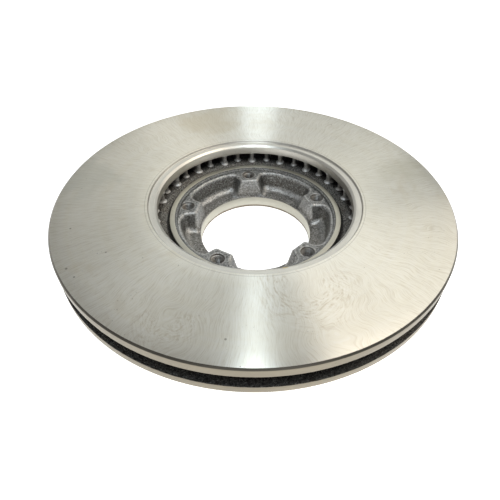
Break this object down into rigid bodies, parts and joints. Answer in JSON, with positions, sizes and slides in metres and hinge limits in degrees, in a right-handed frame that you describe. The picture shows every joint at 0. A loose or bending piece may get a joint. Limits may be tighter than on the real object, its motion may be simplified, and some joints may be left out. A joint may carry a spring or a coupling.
{
  "type": "ventilated brake disc",
  "caption": "Ventilated brake disc: ground friction rings joined by radial cooling vanes round a deep cast hub section with a machined pilot bore and threaded bosses.",
  "frame": {"origin": "on the disc axis, in the plane of the hub seat, the lowest face", "axes": "+Z along the disc axis from the hub seat to the top friction face; +X and +Y are arbitrary, with one hole 97 degrees from +X"},
  "size_m": [0.298, 0.298, 0.046],
  "materials": {
    "ground_iron": "ground face with fine cross-hatched turning marks, satin",
    "vent_iron": "rough sand-cast skin, dark",
    "cast_iron": "shot-blasted sand-cast skin, matt grey"
  },
  "bodies": {
    "root": {"friction_ring_top": "ground_iron", "friction_ring_low": "ground_iron", "cooling_vane_01": "vent_iron", "cooling_vane_02": "vent_iron", "cooling_vane_03": "vent_iron", "cooling_vane_04": "vent_iron", "cooling_vane_05": "vent_iron", "cooling_vane_06": "vent_iron", "cooling_vane_07": "vent_iron", "cooling_vane_08": "vent_iron", "cooling_vane_09": "vent_iron", "cooling_vane_10": "vent_iron", "cooling_vane_11": "vent_iron", "cooling_vane_12": "vent_iron", "cooling_vane_13": "vent_iron", "cooling_vane_14": "vent_iron", "cooling_vane_15": "vent_iron", "cooling_vane_16": "vent_iron", "cooling_vane_17": "vent_iron", "cooling_vane_18": "vent_iron", "cooling_vane_19": "vent_iron", "cooling_vane_20": "vent_iron", "cooling_vane_21": "vent_iron", "cooling_vane_22": "vent_iron", "cooling_vane_23": "vent_iron", "cooling_vane_24": "vent_iron", "cooling_vane_25": "vent_iron", "cooling_vane_26": "vent_iron", "cooling_vane_27": "vent_iron", "cooling_vane_28": "vent_iron", "cooling_vane_29": "vent_iron", "cooling_vane_30": "vent_iron", "cooling_vane_31": "vent_iron", "cooling_vane_32": "vent_iron", "cooling_vane_33": "vent_iron", "cooling_vane_34": "vent_iron", "cooling_vane_35": "vent_iron", "cooling_vane_36": "vent_iron", "cooling_vane_37": "vent_iron", "cooling_vane_38": "vent_iron", "hub_flange": "cast_iron", "hub_wall": "cast_iron", "screw_boss_1": "cast_iron", "screw_boss_2": "cast_iron", "screw_boss_3": "cast_iron", "screw_boss_4": "cast_iron", "screw_boss_5": "cast_iron"}
  },
  "joints": []
}
